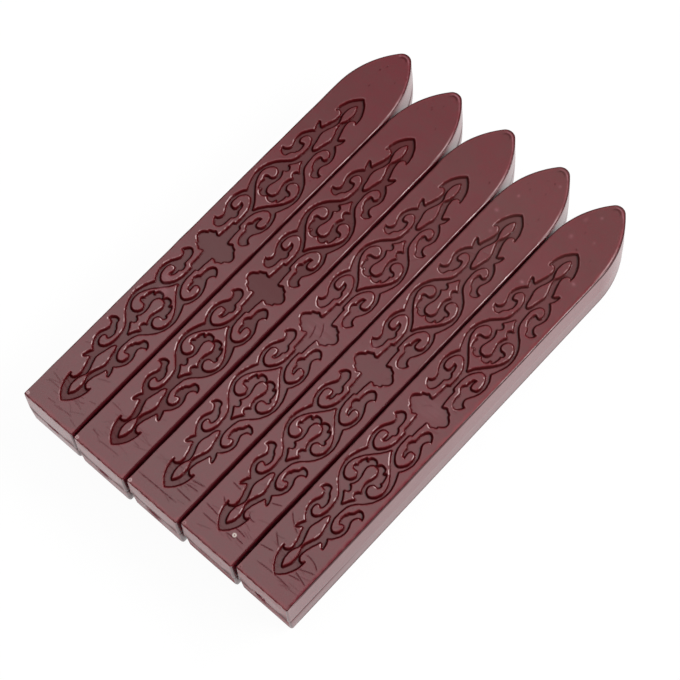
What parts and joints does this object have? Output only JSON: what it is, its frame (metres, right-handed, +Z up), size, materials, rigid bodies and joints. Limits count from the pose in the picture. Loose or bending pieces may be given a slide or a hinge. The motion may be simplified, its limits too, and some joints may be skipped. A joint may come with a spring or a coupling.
{
  "type": "sealing wax stick set",
  "caption": "Row of loose cast sealing wax sticks, each a square bar with a pointed nose and a symmetrical scrolling ornament sunk into its upper face.",
  "frame": {"origin": "under the middle of the row, on the surface that the sticks rest on", "axes": "+X along the sticks from butt to pointed nose, +Y across the row towards wax_stick_1, +Z up, out of the ornamented faces"},
  "size_m": [0.092, 0.0592, 0.011],
  "materials": {
    "wax": "satin wine-red cast sealing wax"
  },
  "bodies": {
    "stick_1": {"wax_stick_1": "wax"},
    "stick_2": {"wax_stick_2": "wax"},
    "stick_3": {"wax_stick_3": "wax"},
    "stick_4": {"wax_stick_4": "wax"},
    "stick_5": {"wax_stick_5": "wax"}
  },
  "joints": [
    {"name": "lift_1", "type": "slide", "parent": "stick_3", "child": "stick_1", "axis": [0, 0, 1], "range_m": [0, 0.03]},
    {"name": "lift_2", "type": "slide", "parent": "stick_3", "child": "stick_2", "axis": [0, 0, 1], "range_m": [0, 0.03]},
    {"name": "lift_4", "type": "slide", "parent": "stick_3", "child": "stick_4", "axis": [0, 0, 1], "range_m": [0, 0.03]},
    {"name": "lift_5", "type": "slide", "parent": "stick_3", "child": "stick_5", "axis": [0, 0, 1], "range_m": [0, 0.03]}
  ]
}
